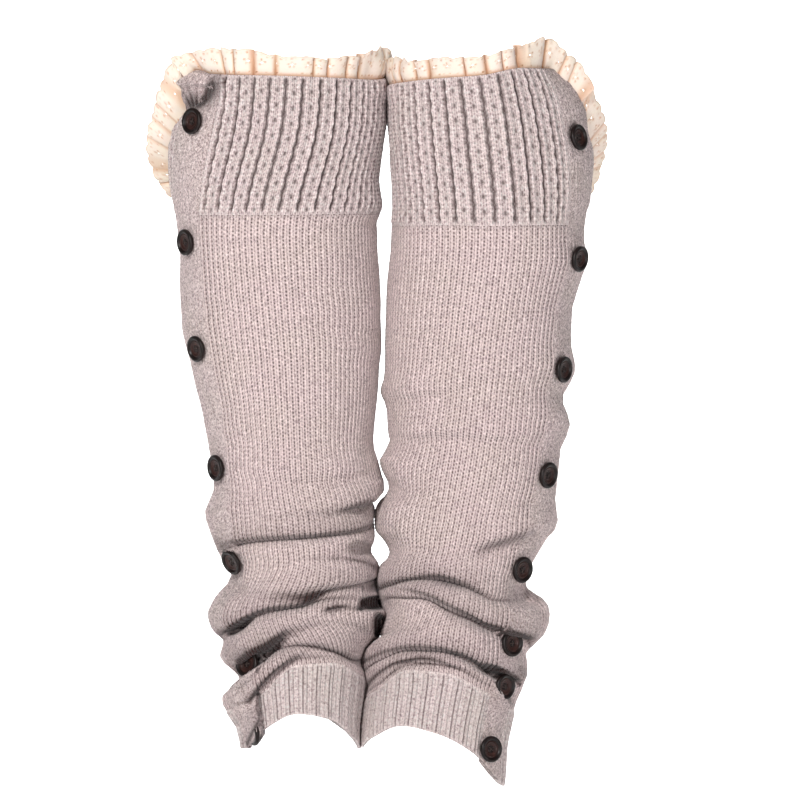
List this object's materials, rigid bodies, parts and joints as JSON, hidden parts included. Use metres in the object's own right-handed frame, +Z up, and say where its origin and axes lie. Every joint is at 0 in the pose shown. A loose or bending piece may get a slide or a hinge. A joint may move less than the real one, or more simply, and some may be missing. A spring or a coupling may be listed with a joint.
{
  "type": "pair of knitted boot cuffs",
  "caption": "Pair of long knitted boot cuffs with a ribbed top band, a buttoned side, a gathered lace edge and an arched ribbed hem, standing bunched as worn.",
  "frame": {"origin": "midway between the two cuffs, at the middle height of their ribbed bands, on the plane that halves each leg front to back", "axes": "+Z up the legs, the front of the pair faces -Y, +X runs from the left cuff in the picture to the right one"},
  "size_m": [0.2688, 0.1224, 0.4464],
  "materials": {
    "knit": "matte heathered plain knit",
    "ribbed_knit": "matte heathered rib and cable knit",
    "placket_knit": "matte heathered plain knit",
    "lace": "matte cotton eyelet lace, gathered",
    "dark_button": "satin dark brown, turned with a raised rim"
  },
  "bodies": {
    "root": {"left_top_band": "ribbed_knit", "left_body": "knit", "left_hem_rib": "ribbed_knit", "left_button_placket": "placket_knit", "left_under_placket": "placket_knit", "left_lace_trim": "lace", "left_button_1": "dark_button", "left_button_2": "dark_button", "left_button_3": "dark_button", "left_button_4": "dark_button", "left_button_5": "dark_button", "left_button_6": "dark_button", "left_button_7": "dark_button", "right_top_band": "ribbed_knit", "right_body": "knit", "right_hem_rib": "ribbed_knit", "right_button_placket": "placket_knit", "right_under_placket": "placket_knit", "right_lace_trim": "lace", "right_button_1": "dark_button", "right_button_2": "dark_button", "right_button_3": "dark_button", "right_button_4": "dark_button", "right_button_5": "dark_button", "right_button_6": "dark_button", "right_button_7": "dark_button", "right_button_8": "dark_button"}
  },
  "joints": []
}
